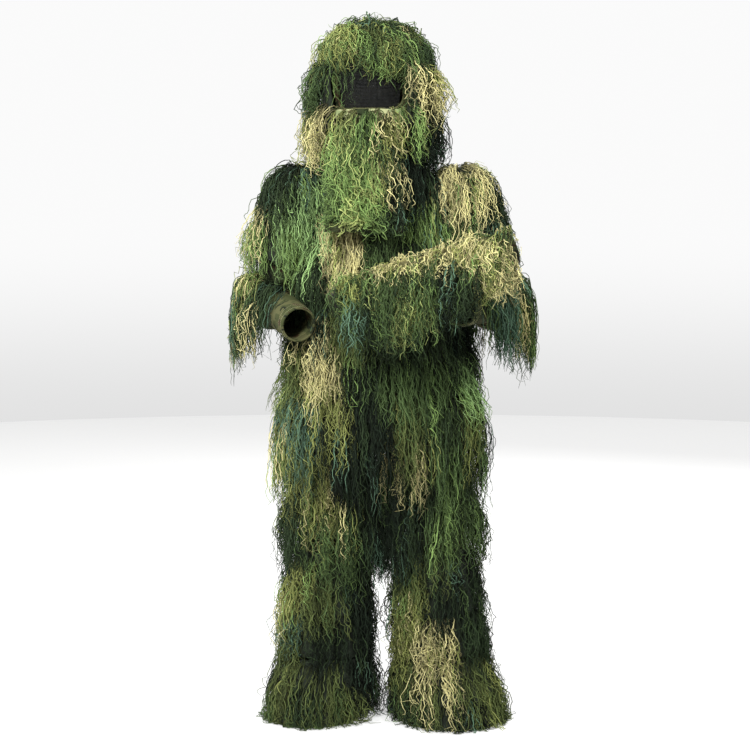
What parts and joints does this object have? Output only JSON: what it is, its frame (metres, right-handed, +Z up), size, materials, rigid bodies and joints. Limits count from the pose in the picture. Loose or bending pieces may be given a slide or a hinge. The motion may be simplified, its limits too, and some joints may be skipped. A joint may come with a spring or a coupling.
{
  "type": "ghillie suit",
  "caption": "Camouflage suit of sewn thread bundles: jacket, trousers, hood with eye net and face veil, and a rifle wrap, hanging as worn.",
  "frame": {"origin": "bottom centre of the suit's bounding box, on the ground the hems rest on", "axes": "+Z up through the hood, -Y the way the suit faces, +X towards the wearer's left"},
  "size_m": [0.784, 0.6588, 1.835],
  "materials": {
    "camo_fabric": "woven woodland camouflage",
    "veil_camo": "pale woven camouflage",
    "eye_net": "open black net",
    "thread_mixed": "loose crinkled threads in greens and tan",
    "elastic": "ribbed woven elastic",
    "snap_metal": "blackened snaps"
  },
  "bodies": {
    "suit": {"jacket_back": "camo_fabric", "jacket_front_right": "camo_fabric", "jacket_front_left": "camo_fabric", "front_placket": "camo_fabric", "snap_fasteners": "snap_metal", "collar": "camo_fabric", "jacket_hem_band": "camo_fabric", "yoke_fringe_front": "thread_mixed", "yoke_fringe_back": "thread_mixed", "torso_fringe_1": "thread_mixed", "torso_fringe_2": "thread_mixed", "torso_fringe_3": "thread_mixed", "torso_fringe_4": "thread_mixed", "hood_skirt": "camo_fabric", "hood_skirt_fringe": "thread_mixed", "trouser_seat": "camo_fabric", "waistband": "camo_fabric", "waist_elastic": "elastic", "crotch_gusset": "camo_fabric"},
    "upper_arm_right": {"sleeve_upper_right": "camo_fabric", "sleeve_fringe_right": "thread_mixed"},
    "forearm_right": {"elbow_gusset_right": "camo_fabric", "forearm_sleeve_right": "camo_fabric", "forearm_fringe_right": "thread_mixed", "cuff_right": "camo_fabric"},
    "upper_arm_left": {"sleeve_upper_left": "camo_fabric", "sleeve_fringe_left": "thread_mixed"},
    "forearm_left": {"elbow_gusset_left": "camo_fabric", "forearm_sleeve_left": "camo_fabric", "forearm_fringe_left": "thread_mixed", "cuff_left": "camo_fabric"},
    "upper_leg_right": {"thigh_right": "camo_fabric", "thigh_fringe_right": "thread_mixed"},
    "lower_leg_right": {"knee_gusset_right": "camo_fabric", "shin_right": "camo_fabric", "shin_fringe_upper_right": "thread_mixed", "shin_fringe_lower_right": "thread_mixed", "boot_fringe_right": "thread_mixed"},
    "upper_leg_left": {"thigh_left": "camo_fabric", "thigh_fringe_left": "thread_mixed"},
    "lower_leg_left": {"knee_gusset_left": "camo_fabric", "shin_left": "camo_fabric", "shin_fringe_upper_left": "thread_mixed", "shin_fringe_lower_left": "thread_mixed", "boot_fringe_left": "thread_mixed"},
    "hood": {"hood_crown": "camo_fabric", "eye_mesh": "eye_net", "hood_fringe_top": "thread_mixed", "hood_fringe_brim": "thread_mixed", "hood_fringe_left": "thread_mixed", "hood_fringe_back": "thread_mixed", "hood_fringe_right": "thread_mixed"},
    "veil": {"veil_panel": "camo_fabric", "veil_top_band": "veil_camo", "veil_fringe_upper": "thread_mixed", "veil_fringe_lower": "thread_mixed"},
    "wrap": {"wrap_sleeve": "camo_fabric", "wrap_elastics": "elastic", "wrap_fringe_top": "thread_mixed", "wrap_fringe_front": "thread_mixed"}
  },
  "joints": [
    {"name": "hood_turn", "type": "hinge", "parent": "suit", "child": "hood", "pos_m": [-0.02, 0.1065, 1.6], "axis": [0, 0, 1], "range_deg": [-20, 20]},
    {"name": "veil_lift", "type": "hinge", "parent": "hood", "child": "veil", "pos_m": [-0.03754, -0.01827, 1.598], "axis": [-0.9903, 0.1392, 0], "range_deg": [0, 90]},
    {"name": "shoulder_right", "type": "hinge", "parent": "suit", "child": "upper_arm_right", "pos_m": [-0.21, 0.1115, 1.385], "axis": [0, 1, 0], "range_deg": [0, 25]},
    {"name": "elbow_right", "type": "hinge", "parent": "upper_arm_right", "child": "forearm_right", "pos_m": [-0.29, 0.1265, 1.1], "axis": [0, 0, -1], "range_deg": [0, 30]},
    {"name": "shoulder_left", "type": "hinge", "parent": "suit", "child": "upper_arm_left", "pos_m": [0.2, 0.1115, 1.385], "axis": [0, -1, 0], "range_deg": [0, 25]},
    {"name": "elbow_left", "type": "hinge", "parent": "upper_arm_left", "child": "forearm_left", "pos_m": [0.29, 0.1065, 1.1], "axis": [0, 0, 1], "range_deg": [0, 30]},
    {"name": "hip_right", "type": "hinge", "parent": "suit", "child": "upper_leg_right", "pos_m": [-0.103, 0.1065, 0.8], "axis": [-1, 0, 0], "range_deg": [-12, 15]},
    {"name": "knee_right", "type": "hinge", "parent": "upper_leg_right", "child": "lower_leg_right", "pos_m": [-0.143, 0.1015, 0.48], "axis": [1, 0, 0], "range_deg": [0, 20]},
    {"name": "hip_left", "type": "hinge", "parent": "suit", "child": "upper_leg_left", "pos_m": [0.093, 0.1065, 0.8], "axis": [-1, 0, 0], "range_deg": [-12, 15]},
    {"name": "knee_left", "type": "hinge", "parent": "upper_leg_left", "child": "lower_leg_left", "pos_m": [0.145, 0.0965, 0.48], "axis": [1, 0, 0], "range_deg": [0, 20]},
    {"name": "wrap_pull_off", "type": "slide", "parent": "suit", "child": "wrap", "axis": [0, -1, 0], "range_m": [0, 0.4]}
  ]
}
